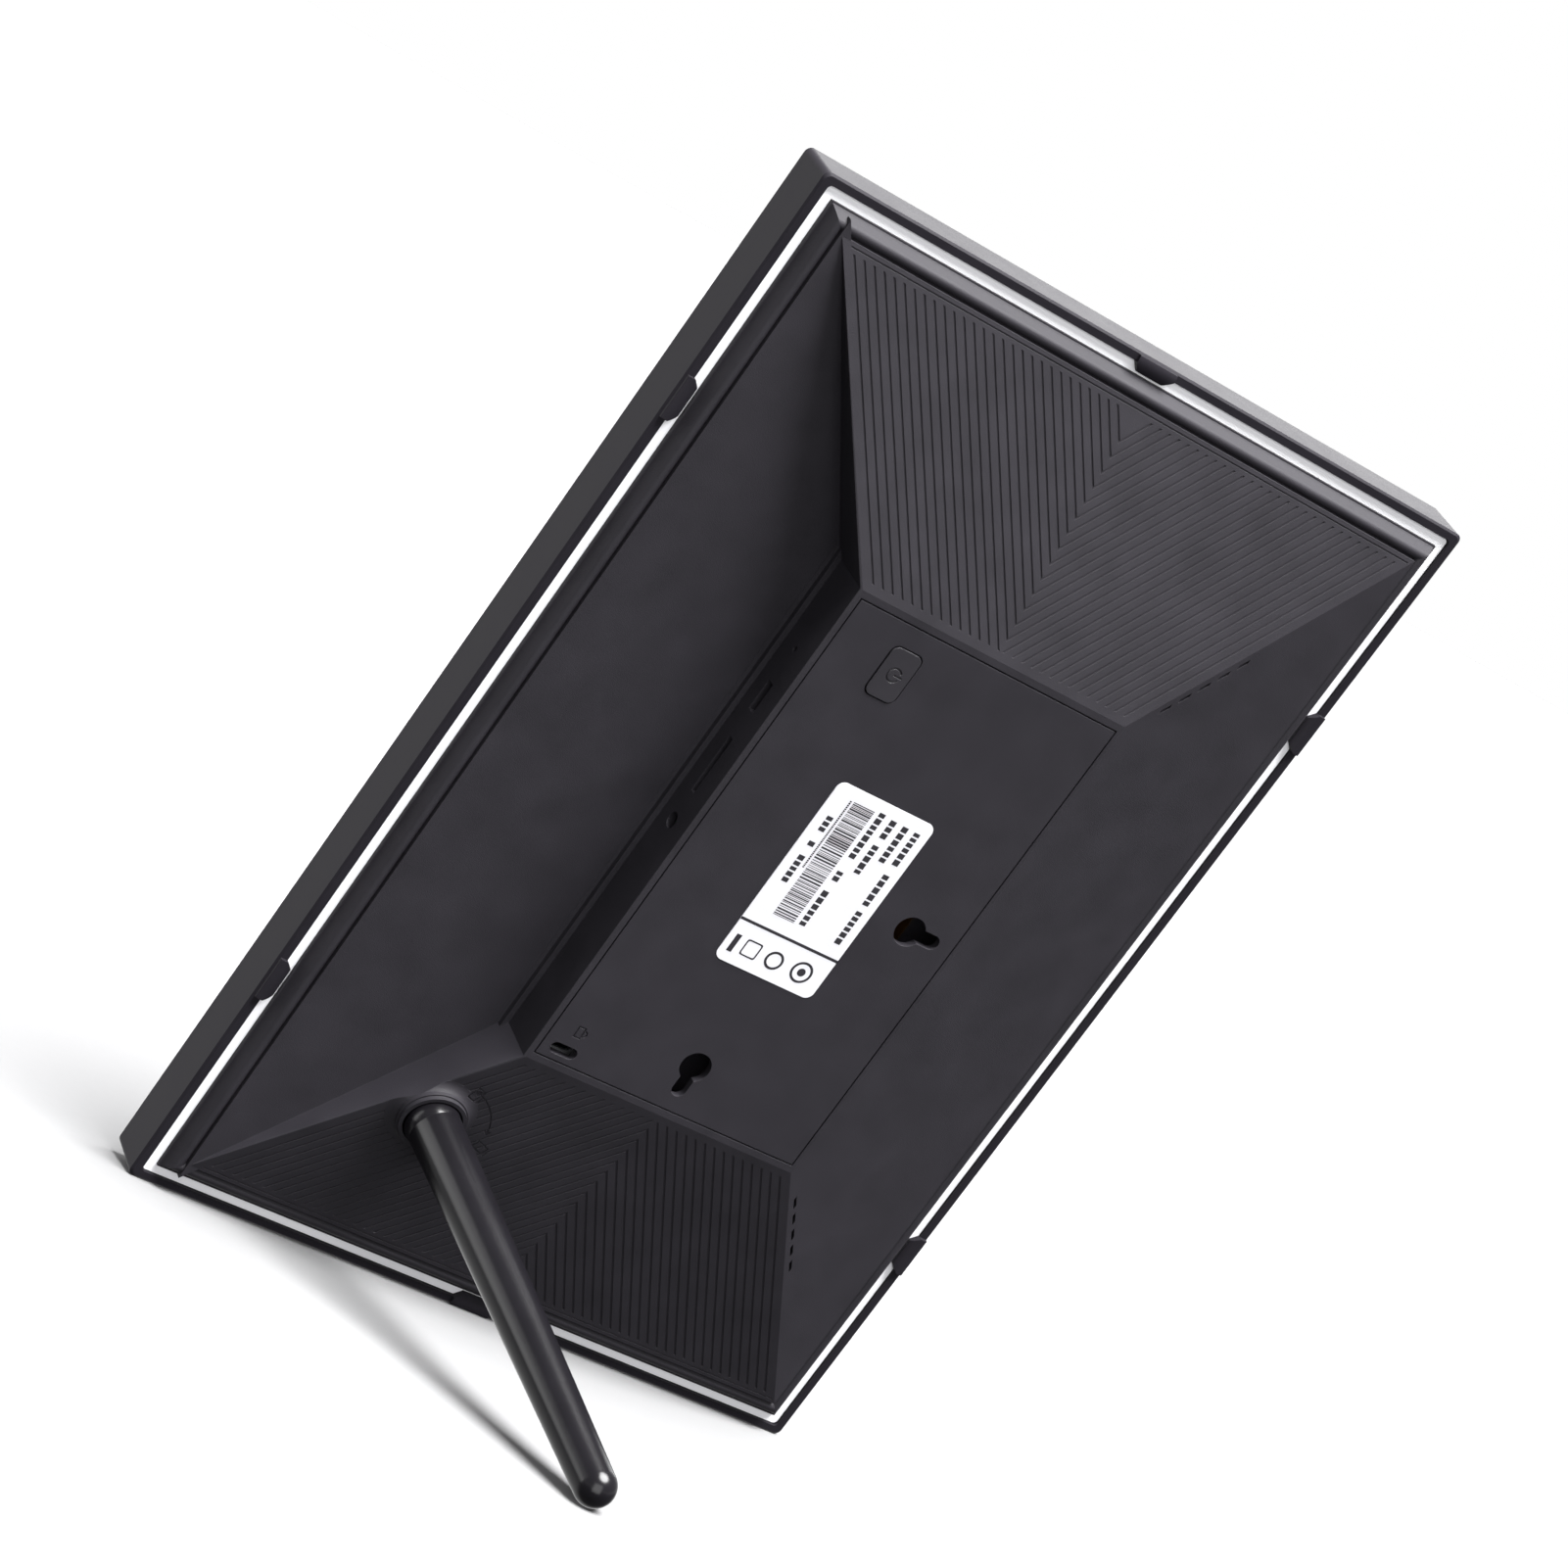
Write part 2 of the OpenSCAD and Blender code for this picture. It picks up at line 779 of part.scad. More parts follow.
// Flared collar round the socket's mouth, and the tube below it.
module boss() {
    rim_r = socket_r + boss_wall;
    at_mouth() {
        rotate_extrude()
            difference() {
                translate([0, -boss_high - flare_foot])
                    square([rim_r + flare_w * 0.96, boss_high + flare_foot]);
                translate([rim_r + flare_w, flare_w - boss_high])
                    circle(flare_w);
                translate([rim_r, flare_w - boss_high])
                    square([flare_w, boss_high]);
            }
        translate([0, 0, -socket_depth - socket_floor])
            cylinder(r = rim_r + 0.4, h = socket_depth + socket_floor - 1);
    }
}

module boss_bore() {
    at_mouth() {
        translate([0, 0, -socket_depth])
            cylinder(r = socket_r, h = socket_depth + 2 * past);
        translate([0, 0, -socket_depth - socket_floor - past])
            cylinder(r = pin_r + pin_fit + bush_wall, h = socket_floor + 2 * past);
    }
}

module port_holes() {
    reach = shell + 3;
    translate([wall_x - 1, dc_y, port_height])
        rotate([0, 90, 0])
            cylinder(r = dc_hole_r, h = reach);
    translate([wall_x - 1, reset_y, port_height])
        rotate([0, 90, 0])
            cylinder(r = reset_r, h = reach);
    translate([wall_x - 1, usb_y - usb_wide / 2, port_height - usb_high / 2])
        cube([reach, usb_wide, usb_high]);
    translate([wall_x - 1, card_y - card_wide / 2, port_height - card_high / 2])
        cube([reach, card_wide, card_high]);
}

// Tray under the centre cover, with screw cups and openings for what passes through.
module tray_solids() {
    translate([0, 0, z_tray])
        linear_extrude(tray_thick)
            translate([(centre_xa + centre_xb) / 2, 0])
                square([centre_short - 2, centre_long - 2], center = true);
    for (p = house_screws)
        translate([p[0], p[1], z_post])
            cylinder(r = cup_r, h = z_cover - z_post);
}

module tray_cuts() {
    block([cover_xa - cover_gap, -cover_long / 2 - cover_gap, z_cover],
        [cover_xb + cover_gap, cover_long / 2 + cover_gap, centre_top + past]);
    for (p = house_screws)
        translate([p[0], p[1], 0]) {
            translate([0, 0, z_post + cup_floor])
                cylinder(r = head_r + 0.3, h = cup_deep + past);
            translate([0, 0, z_post - past])
                cylinder(r = thread_r + 0.3, h = cup_floor + 2 * past);
        }
    translate([0, 0, z_tray - past])
        linear_extrude(tray_thick + 2 * past) {
            keyhole(key_a, 0, key_head_r + 1, key_head_r + 0.6, key_travel);
            keyhole(key_b, -90, key_head_r + 1, key_head_r + 0.6, key_travel);
            translate(button_at)
                round_rect(button_long + 3.4, button_short + 3.4, 1);
            translate(lock_at)
                square([lock_long + 1, lock_wide + 1], center = true);
            for (p = hooks)
                translate(p)
                    square([hook_thick + 0.5, hook_long + 0.6], center = true);
        }
}

module rear_housing() {
    color([0.22, 0.22, 0.235])
    stand_up()
        difference() {
            union() {
                difference() {
                    union() {
                        bead();
                        translate([0, 0, z_ledge])
                            linear_extrude(slope_start - z_ledge)
                                square([slope_short + 0.4, slope_long + 0.4], center = true);
                        hip_roof(slope_long, slope_short, slope_start, centre_long,
                            centre_xa, centre_xb, centre_top);
                    }
                    hip_roof(slope_long - 2 * shell, slope_short - 2 * shell, slope_start - shell,
                        centre_long - shell, centre_xa + shell / 2, centre_xb - shell / 2,
                        centre_top - shell);
                    translate([0, 0, z_ledge - past])
                        linear_extrude(slope_start - shell - z_ledge + 2 * past)
                            square([slope_short - 2 * shell, slope_long - 2 * shell], center = true);
                    grooves();
                }
                recess_walls();
                boss();
                tray_solids();
            }
            recess_cut();
            boss_bore();
            tray_cuts();
            port_holes();
            vents();
            stand_marks();
        }
}

module housing_screws() {
    color([0.55, 0.55, 0.58])
    stand_up()
        for (p = house_screws)
            translate([p[0], p[1], z_post + cup_floor])
                screw(thread_r, 9, head_r, head_high);
}

// Centre cover with two keyholes, the lock slot and the button's window.
hook_long = 7;
hook_thick = 1.2;
hook_barb = 0.6;
hook_drop = 1.2;
hooks = [
    [cover_xa + 2.6, -19], [cover_xa + 2.6, 22.6],
    [cover_xb - 2.6, -14], [cover_xb - 2.6, 14]
];

// Padlock outline beside the lock slot.
module padlock_mark() {
    line = 0.35;
    difference() {
        square([2, 3], center = true);
        square([2 - 2 * line, 3 - 2 * line], center = true);
    }
    translate([1, 0])
        difference() {
            circle(1);
            circle(1 - line);
            translate([-2 - line, -1])
                square([2, 2]);
        }
}

module centre_cover() {
    color([0.215, 0.212, 0.23])
    stand_up()
        difference() {
            union() {
                block([cover_xa, -cover_long / 2, z_cover], [cover_xb, cover_long / 2, centre_top]);
                for (p = hooks)
                    translate([p[0], p[1], z_tray - hook_drop])
                        translate([-hook_thick / 2, -hook_long / 2, 0]) {
                            cube([hook_thick, hook_long, tray_thick + hook_drop + 0.1]);
                            translate([p[0] > 0 ? 0 : -hook_barb, 0, 0])
                                cube([hook_thick + hook_barb, hook_long, hook_drop - seat]);
                        }
            }
            translate([0, 0, z_cover - past])
                linear_extrude(cover_thick + 2 * past) {
                    keyhole(key_a, 0, key_head_r, key_slot_r, key_travel);
                    keyhole(key_b, -90, key_head_r, key_slot_r, key_travel);
                    translate(button_at)
                        round_rect(button_long + 2 * button_gap, button_short + 2 * button_gap, 2);
                    translate(lock_at)
                        rotate(90)
                            round_rect(lock_long, lock_wide, lock_wide / 2 - 0.01);
                }
            translate([label_at[0], label_at[1], centre_top - 0.1])
                linear_extrude(1)
                    round_rect(label_long + 0.4, label_short + 0.4, 2.2);
            translate([lock_at[0] + 0.6, lock_at[1] + 5.4, centre_top - mark_depth])
                linear_extrude(1)
                    padlock_mark();
        }
}

module lock_plate() {
    color([0.6, 0.6, 0.62])
    stand_up()
        difference() {
            translate([lock_at[0], lock_at[1] + 0.6, z_tray - 1])
                linear_extrude(1)
                    square([2 * (lock_at[0] - wall_x - shell - seat), lock_wide + 3.4], center = true);
            translate([lock_at[0], lock_at[1], z_tray - 1 - past])
                linear_extrude(1 + 2 * past)
                    rotate(90)
                        round_rect(lock_long, lock_wide, lock_wide / 2 - 0.01);
        }
}

module rating_label() {
    color([0.93, 0.93, 0.95])
    stand_up()
        translate([label_at[0], label_at[1], 0])
            plate(label_long, label_short, 2, centre_top - 0.1, 0.2);
}

// Power button: cap, flange under the cover, stem, and the switch below.
module power_mark(r, line) {
    difference() {
        circle(r);
        circle(r - line);
        square([2 * r, r * 0.9], center = true);
    }
    difference() {
        circle(r);
        circle(r - line);
        translate([0, -r])
            square(2 * r);
    }
    translate([0, -line / 2])
        square([r * 1.15, line]);
}

module power_button() {
    color([0.20, 0.20, 0.215])
    stand_up()
        translate([button_at[0], button_at[1], 0]) {
            difference() {
                plate(button_long, button_short, 1.8, z_cover - 0.3, cover_thick + 0.5);
                translate([0, 0, centre_top + 0.2 - mark_depth])
                    linear_extrude(1)
                        power_mark(1.8, 0.35);
            }
            plate(button_long + 1.8, button_short + 1.8, 1, z_cover - 1.1, 0.95);
            translate([0, 0, z_board_top + switch_high + 0.9])
                cylinder(r = 2, h = z_cover - 0.8 - z_board_top - switch_high - 0.9);
        }
}

module power_plunger() {
    color([0.8, 0.8, 0.75])
    stand_up()
        translate([button_at[0], button_at[1], z_board_top + switch_high - 1.4])
            cylinder(r = plunger_r, h = 2.3);
}

module power_switch() {
    color([0.1, 0.1, 0.1])
    stand_up()
        translate([button_at[0], button_at[1], z_board_top])
            difference() {
                translate([-switch_size / 2, -switch_size / 2, 0])
                    cube([switch_size, switch_size, switch_high]);
                translate([0, 0, switch_high - 1.5 - button_travel])
                    cylinder(r = plunger_r + plunger_gap, h = 4);
            }
}

// Reset switch, pushed with a pin through the pinhole.
reset_stroke = 0.3;

module reset_switch() {
    color([0.1, 0.1, 0.1])
    stand_up()
        difference() {
            block([board_xa + 1, reset_y - 3, z_board_top], [board_xa + 4.6, reset_y + 3, z_board_top + 3]);
            translate([board_xa + 0.5, reset_y, port_height])
                rotate([0, 90, 0])
                    cylinder(r = 0.8 + plunger_gap, h = 2.5);
        }
}

module reset_plunger() {
    color([0.85, 0.85, 0.8])
    stand_up()
        translate([board_xa, reset_y, port_height])
            rotate([0, 90, 0])
                cylinder(r = 0.8, h = 2.6);
}

// Main board with a notch for the housing post beside the button.
module main_board() {
    color([0.05, 0.32, 0.18])
    stand_up()
        difference() {
            block([board_xa, board_ya, z_board], [board_xb, board_yb, z_board_top]);
            block([board_xa - 1, notch_y, z_board - 1], [notch_x, board_yb + 1, z_board_top + 1]);
            for (p = board_holes)
                translate([p[0], p[1], z_board - 1])
                    cylinder(r = thread_r + 0.2, h = board_thick + 2);
        }
}

module board_screws() {
    color([0.55, 0.55, 0.58])
    stand_up()
        for (p = board_holes)
            translate([p[0], p[1], z_board_top])
                screw(thread_r, 6, head_r - 0.2, 1.3);
}

chip_x = 1;
chip_y = 12;

module processor() {
    color([0.08, 0.08, 0.09])
    stand_up()
        block([chip_x - 7, chip_y - 7, z_board_top], [chip_x + 7, chip_y + 7, z_board_top + 1.1]);
}

module memory_chips() {
    color([0.08, 0.08, 0.09])
    stand_up()
        for (dx = [-1, 1])
            block([chip_x + dx * 6 - 4.5, chip_y - 22, z_board_top],
                [chip_x + dx * 6 + 4.5, chip_y - 11, z_board_top + 1]);
}

module shield_can() {
    color([0.78, 0.79, 0.8])
    stand_up()
        difference() {
            block([chip_x - 13, chip_y - 24.5, z_board_top], [chip_x + 13, chip_y + 9.5, z_board_top + 2.2]);
            block([chip_x - 12.7, chip_y - 24.2, z_board_top - 1], [chip_x + 12.7, chip_y + 9.2, z_board_top + 1.9]);
        }
}

module wifi_module() {
    color([0.1, 0.25, 0.5])
    stand_up()
        block([chip_x - 6, chip_y + 13, z_board_top], [chip_x + 6, chip_y + 26, z_board_top + 1.8]);
}

module wifi_antenna() {
    color([0.75, 0.5, 0.2])
    stand_up()
        block([-25, 84, z_deck], [-17, 112, z_deck + 0.3]);
}

module antenna_lead() {
    color([0.15, 0.15, 0.15])
    stand_up()
        lead([
            [chip_x, chip_y + 24, z_board_top + 2.4], [chip_x, 62, z_board_top + 2.4],
            [-14, 76, z_deck + 0.9], [-21, 90, z_deck + 0.9]
        ], 0.6);
}

// Sockets on the board's edge.
module dc_jack() {
    color([0.09, 0.09, 0.1])
    stand_up()
        difference() {
            block([board_xa, dc_y - 3, z_board_top], [board_xa + 11, dc_y + 3, z_board_top + 4.4]);
            translate([board_xa - 1, dc_y, port_height])
                rotate([0, 90, 0])
                    difference() {
                        cylinder(r = 1.3, h = 10);
                        cylinder(r = 0.5, h = 10);
                    }
            block([board_xa - 2, dc_y - 1, port_height - 1], [board_xa + 1, dc_y + 1, port_height + 1]);
        }
}

module usb_socket() {
    color([0.75, 0.76, 0.78])
    stand_up() {
        difference() {
            block([board_xa, usb_y - 3.75, z_board_top], [board_xa + 5.6, usb_y + 3.75, z_board_top + 2.8]);
            block([board_xa - 1, usb_y - 3.4, z_board_top + 0.35], [board_xa + 5, usb_y + 3.4, z_board_top + 2.45]);
        }
        block([board_xa + 0.8, usb_y - 2.4, port_height + 0.1], [board_xa + 5.1, usb_y + 2.4, port_height + 0.7]);
    }
}

module card_socket() {
    color([0.75, 0.76, 0.78])
    stand_up()
        difference() {
            block([board_xa, card_y - 7, z_board_top], [board_xa + 14, card_y + 7, z_board_top + 2.4]);
            block([board_xa - 1, card_y - 5.6, z_board_top + 0.9], [board_xa + 13.4, card_y + 5.6, z_board_top + 2.1]);
        }
}

// Speakers with their leads.
module speaker() {
    translate([0, 0, z_deck])
        difference() {
            block([-speaker_short / 2, -speaker_long / 2, 0], [speaker_short / 2, speaker_long / 2, speaker_high]);
            translate([0, 0, speaker_high - 1])
                linear_extrude(2)
                    round_rect(speaker_long - 4, speaker_short - 4, 7);
        }
    translate([0, 0, z_deck + speaker_high - 1.1])
        cylinder(r1 = 5, r2 = 2.5, h = 0.9);
}

module speaker_upper() {
    color([0.12, 0.12, 0.13])
    stand_up()
        translate([speaker_x, speaker_y, 0])
            speaker();
}

module speaker_lower() {
    color([0.12, 0.12, 0.13])
    stand_up()
        translate([speaker_x, -speaker_y, 0])
            speaker();
}

module speaker_leads() {
    color([0.7, 0.1, 0.1])
    stand_up()
        for (side = [-1, 1])
            for (offset_x = [0, 1.3])
                lead([
                    [speaker_x - speaker_short / 2 - 3 - offset_x, side * (speaker_y - 8), z_deck + 0.7],
                    [26 - offset_x, side * 62, z_deck + 0.7],
                    [26 - offset_x, side > 0 ? 46 : -24, z_deck + 0.7]
                ], 0.55);
}

module display_ribbon() {
    color([0.8, 0.5, 0.15])
    stand_up() {
        block([14, -22, z_deck], [34, -2, z_deck + 0.3]);
        block([33.7, -22, z_deck], [34, -2, z_deck + 4]);
    }
}

module touch_ribbon() {
    color([0.8, 0.5, 0.15])
    stand_up() {
        block([14, 10, z_deck], [34, 18, z_deck + 0.3]);
        block([33.7, 10, z_deck], [34, 18, z_deck + 4]);
    }
}

// Stand: bush in the housing, then the rod with its pivot, washers and screw.
module socket_bush() {
    color([0.85, 0.85, 0.82])
    stand_up()
        at_mouth()
            difference() {
                union() {
                    translate([0, 0, -socket_depth - socket_floor])
                        cylinder(r = pin_r + pin_fit + bush_wall, h = socket_floor + 0.1);
                    translate([0, 0, -socket_depth])
                        cylinder(r = knuckle_r - 0.2, h = bush_flange);
                }
                translate([0, 0, -socket_depth - socket_floor - past])
                    cylinder(r = pin_r + pin_fit, h = socket_floor + 3);
            }
}

module friction_washer() {
    color([0.7, 0.7, 0.72])
    stand_up()
        at_mouth()
            translate([0, 0, -socket_depth - socket_floor - wave_thick])
                difference() {
                    cylinder(r = washer_r, h = wave_thick);
                    translate([0, 0, -past])
                        cylinder(r = pin_r + 0.4, h = wave_thick + 2 * past);
                }
}

module stand_washer() {
    color([0.7, 0.7, 0.72])
    stand_up()
        at_mouth()
            translate([0, 0, z_pin - plate_thick])
                difference() {
                    cylinder(r = washer_r, h = plate_thick);
                    translate([0, 0, -past])
                        cylinder(r = stand_screw_r + 0.3, h = plate_thick + 2 * past);
                }
}

module stand_screw() {
    color([0.7, 0.7, 0.72])
    stand_up()
        at_mouth()
            translate([0, 0, z_pin - plate_thick])
                rotate([180, 0, 0])
                    screw(stand_screw_r, 7, stand_head_r, 1.5);
}

module rod_section() {
    intersection() {
        union() {
            polygon([[0, 0], [rod_base_r, 0], [rod_tip_r, rod_long], [0, rod_long]]);
            translate([0, rod_long])
                circle(rod_tip_r);
        }
        square([rod_base_r * 2, rod_long * 2]);
    }
}

module stand_rod() {
    color([0.09, 0.09, 0.095])
    stand_up()
        at_mouth()
            difference() {
                union() {
                    sphere(knuckle_r);
                    translate([0, 0, -socket_depth + bush_flange + pivot_play])
                        cylinder(r = knuckle_r, h = socket_depth - bush_flange - pivot_play);
                    translate([0, 0, z_pin])
                        cylinder(r = pin_r, h = -z_pin);
                    rotate([0, rod_lean, 0])
                        rotate_extrude()
                            rod_section();
                }
                translate([0, 0, z_pin - past])
                    cylinder(r = stand_screw_r + thread_gap, h = 7.5);
            }
}

outer_frame();
cover_glass();
glass_gasket();
mat_panel();
lcd_glass();
backlight();
inner_chassis();
chassis_screws();
rear_housing();
housing_screws();
centre_cover();
lock_plate();
rating_label();
power_button();
power_plunger();
power_switch();
reset_switch();
reset_plunger();
main_board();
board_screws();
processor();
memory_chips();
shield_can();
wifi_module();
wifi_antenna();
antenna_lead();
dc_jack();
usb_socket();
card_socket();
speaker_upper();
speaker_lower();
speaker_leads();
display_ribbon();
touch_ribbon();
socket_bush();
friction_washer();
stand_washer();
stand_screw();
stand_rod();
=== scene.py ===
import json
import math
import random

import bmesh
import bpy
from mathutils import Matrix, Vector


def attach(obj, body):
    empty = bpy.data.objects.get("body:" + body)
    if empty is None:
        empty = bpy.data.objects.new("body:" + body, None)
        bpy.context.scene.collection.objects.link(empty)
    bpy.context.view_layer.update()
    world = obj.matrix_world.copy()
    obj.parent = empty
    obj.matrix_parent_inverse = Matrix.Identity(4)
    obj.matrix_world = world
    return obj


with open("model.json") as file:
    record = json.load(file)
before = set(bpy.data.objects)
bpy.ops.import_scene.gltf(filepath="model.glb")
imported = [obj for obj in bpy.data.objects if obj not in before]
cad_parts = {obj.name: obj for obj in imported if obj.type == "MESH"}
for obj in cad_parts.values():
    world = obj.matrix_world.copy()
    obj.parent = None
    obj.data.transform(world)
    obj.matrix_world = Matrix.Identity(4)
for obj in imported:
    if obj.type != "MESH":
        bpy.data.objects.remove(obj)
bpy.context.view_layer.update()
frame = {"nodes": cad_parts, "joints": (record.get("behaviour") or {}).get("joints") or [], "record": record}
nodes = frame["nodes"]
joints = {j["name"]: j for j in frame["joints"]}
scene = bpy.context.scene
MM = 0.001

# Axes of the frame as if it lay on its face: across the short side, along the long side and out
# of the back. They come from the joints, because the frame stands leaning back.
OUT = -Vector(joints["power_press"]["axis"]).normalized()
ACROSS = Vector(joints["reset_press"]["axis"]).normalized()
ALONG = OUT.cross(ACROSS).normalized()


def spans(node, origin=Vector()):
    """Smallest and largest place of a CAD node along the three local axes."""
    points = [v.co - origin for v in nodes[node].data.vertices]
    return [(min(p.dot(a) for p in points), max(p.dot(a) for p in points))
            for a in (ACROSS, ALONG, OUT)]


# The local origin is the middle of the front face.
across_ends, along_ends, out_ends = spans("outer_frame")
ORIGIN = ACROSS * sum(across_ends) / 2 + ALONG * sum(along_ends) / 2 + OUT * out_ends[0]
LOCAL = Matrix((
    (ACROSS.x, ALONG.x, OUT.x, ORIGIN.x),
    (ACROSS.y, ALONG.y, OUT.y, ORIGIN.y),
    (ACROSS.z, ALONG.z, OUT.z, ORIGIN.z),
    (0, 0, 0, 1),
))


def show(name, data):
    """A new object in the scene."""
    obj = bpy.data.objects.new(name, data)
    scene.collection.objects.link(obj)
    return obj


# ---------------------------------------------------------------- materials
# Shares of the fine grain and of the slow mottle in a moulded surface's pattern.
FINE_SHARE = 0.45
SLOW_SHARE = 0.55
# Values of a pattern between which colour and roughness change.
PATTERN = (0.3, 0.7)
BRUSHED_PATTERN = (0.35, 0.65)
COAT_ROUGH = 0.12
BEVEL_SAMPLES = 4
# Faint violet cast of the black plastic.
BLACK_CAST = (1.05, 0.955, 1.22)
# Every material made so far, by its name.
LOOKS = {}


def add(tree, kind, **values):
    """A shader node: values that start with in_ set its inputs, the others its properties."""
    node = tree.nodes.new("ShaderNode" + kind)
    for key, value in values.items():
        if key.startswith("in_"):
            node.inputs[key[3:].replace("_", " ")].default_value = value
        else:
            setattr(node, key, value)
    return node


def join(tree, source, output, target, socket):
    tree.links.new(source.outputs[output], target.inputs[socket])


def ramp(tree, stops):
    """A colour ramp through the given stops, each a position and a colour."""
    node = add(tree, "ValToRGB")
    elements = node.color_ramp.elements
    for index, stop in ((0, stops[0]), (1, stops[-1])):
        elements[index].position = stop[0]
        elements[index].color = (*stop[1], 1)
    for position, colour in stops[1:-1]:
        elements.new(position).color = (*colour, 1)
    return node


def new_material(name):
    """A material with only a shader in it, its node tree and the shader."""
    material = bpy.data.materials.new(name)
    material.use_nodes = True
    tree = material.node_tree
    tree.nodes.clear()
    shader = add(tree, "BsdfPrincipled")
    join(tree, shader, "BSDF", add(tree, "OutputMaterial"), "Surface")
    LOOKS[name] = material
    return material, tree, shader


def tint_and_gloss(tree, shader, pattern, output, spread, dark, light, rough):
    """Colour and roughness that both follow one pattern."""
    tint = ramp(tree, ((spread[0], dark), (spread[1], light)))
    join(tree, pattern, output, tint, "Fac")
    join(tree, tint, "Color", shader, "Base Color")
    gloss = add(tree, "MapRange", in_From_Min=PATTERN[0], in_From_Max=PATTERN[1],
                in_To_Min=rough[0], in_To_Max=rough[1])
    join(tree, pattern, output, gloss, "Value")
    join(tree, gloss, "Result", shader, "Roughness")


def moulded(name, dark, light, rough=(0.4, 0.55), grain=5200.0, grain_depth=0.00003,
            mottle=90.0, soft_edge=0.00018, specular=0.5, coat=0.0):
    """Moulded plastic: fine grain, slow colour and gloss variation, softened edges."""
    material, tree, shader = new_material(name)
    where = add(tree, "TexCoord")
    slow = add(tree, "TexNoise", in_Scale=mottle, in_Detail=3.0, in_Roughness=0.55)
    fine = add(tree, "TexNoise", in_Scale=grain, in_Detail=2.0, in_Roughness=0.6)
    for noise in (slow, fine):
        join(tree, where, "Object", noise, "Vector")
    slow_part = add(tree, "Math", operation="MULTIPLY")
    slow_part.inputs[1].default_value = SLOW_SHARE
    join(tree, slow, "Fac", slow_part, 0)
    blend = add(tree, "Math", operation="MULTIPLY_ADD")
    blend.inputs[1].default_value = FINE_SHARE
    join(tree, fine, "Fac", blend, 0)
    join(tree, slow_part, "Value", blend, 2)
    tint_and_gloss(tree, shader, blend, "Value", PATTERN, dark, light, rough)
    bump = add(tree, "Bump", in_Strength=1.0, in_Distance=grain_depth)
    join(tree, fine, "Fac", bump, "Height")
    if soft_edge:
        join(tree, add(tree, "Bevel", samples=BEVEL_SAMPLES, in_Radius=soft_edge), "Normal",
             bump, "Normal")
    join(tree, bump, "Normal", shader, "Normal")
    shader.inputs["Specular IOR Level"].default_value = specular
    if coat:
        shader.inputs["Coat Weight"].default_value = coat
        shader.inputs["Coat Roughness"].default_value = COAT_ROUGH
    return material


def brushed(name, dark, light, rough=(0.25, 0.4), stretch=(40, 4000, 4000)):
    """Brushed or rolled sheet metal."""
    material, tree, shader = new_material(name)
    mapping = add(tree, "Mapping", in_Scale=stretch)
    join(tree, add(tree, "TexCoord"), "Object", mapping, "Vector")
    lines = add(tree, "TexNoise", in_Scale=1.0, in_Detail=2.0)
    join(tree, mapping, "Vector", lines, "Vector")
    tint_and_gloss(tree, shader, lines, "Fac", BRUSHED_PATTERN, dark, light, rough)
    bump = add(tree, "Bump", in_Strength=0.4, in_Distance=0.00001)
    join(tree, lines, "Fac", bump, "Height")
    join(tree, bump, "Normal", shader, "Normal")
    shader.inputs["Metallic"].default_value = 1.0
    return material


def grey(value):
    """The near-black of the plastic at a given level."""
    return tuple(value * c for c in BLACK_CAST)


moulded("frame_black", grey(0.012), grey(0.016), rough=(0.42, 0.5), grain=5200,
        grain_depth=0.00002, specular=0.1)
moulded("housing_black", grey(0.0125), grey(0.0195), rough=(0.54, 0.66), grain=4200,
        grain_depth=0.00005, specular=0.3)
moulded("cover_black", grey(0.0135), grey(0.019), rough=(0.54, 0.66), grain=6500,
        grain_depth=0.00003, specular=0.3)
moulded("button_black", grey(0.0135), grey(0.018), rough=(0.46, 0.56), grain=7000,
        grain_depth=0.00002, soft_edge=0.0003)
moulded("mat_white", (0.9, 0.9, 0.93), (0.94, 0.94, 0.96), rough=(0.35, 0.45), grain=3500,
        grain_depth=0.00001)
moulded("screen_glass", (0.004, 0.004, 0.005), (0.006, 0.006, 0.008), rough=(0.03, 0.05),
        grain=900, grain_depth=0.000001, soft_edge=0.0)
moulded("panel_dark", (0.004, 0.005, 0.007), (0.007, 0.008, 0.01), rough=(0.15, 0.2))
moulded("foam_black", grey(0.01), grey(0.02), rough=(0.85, 0.95), grain=3000,
        grain_depth=0.0001)
brushed("sheet_steel", (0.5, 0.51, 0.53), (0.62, 0.63, 0.65))
brushed("screw_steel", (0.32, 0.32, 0.34), (0.45, 0.45, 0.48), stretch=(1500, 1500, 1500))
moulded("chassis_grey", grey(0.03), grey(0.045), rough=(0.45, 0.6))
moulded("board_green", (0.01, 0.06, 0.025), (0.015, 0.1, 0.04), rough=(0.25, 0.35), coat=0.4)
moulded("chip_black", grey(0.01), grey(0.016), rough=(0.45, 0.55), grain=7000)
moulded("module_blue", (0.01, 0.03, 0.14), (0.015, 0.05, 0.2), rough=(0.25, 0.35), coat=0.4)
moulded("film_amber", (0.045, 0.02, 0.004), (0.06, 0.028, 0.006), rough=(0.25, 0.35),
        coat=0.3)
moulded("lead_red", (0.35, 0.01, 0.01), (0.45, 0.02, 0.015), rough=(0.35, 0.45))
moulded("lead_black", grey(0.01), grey(0.016), rough=(0.35, 0.45))
moulded("plunger_cream", (0.6, 0.58, 0.48), (0.68, 0.66, 0.56), rough=(0.35, 0.45))
moulded("label_white", (0.64, 0.64, 0.67), (0.68, 0.68, 0.71), rough=(0.42, 0.5), grain=2500,
        grain_depth=0.000004, soft_edge=0.0)
moulded("rod_black", grey(0.004), grey(0.006), rough=(0.2, 0.24), grain=5200,
        grain_depth=0.000008, soft_edge=0.0, specular=0.28)
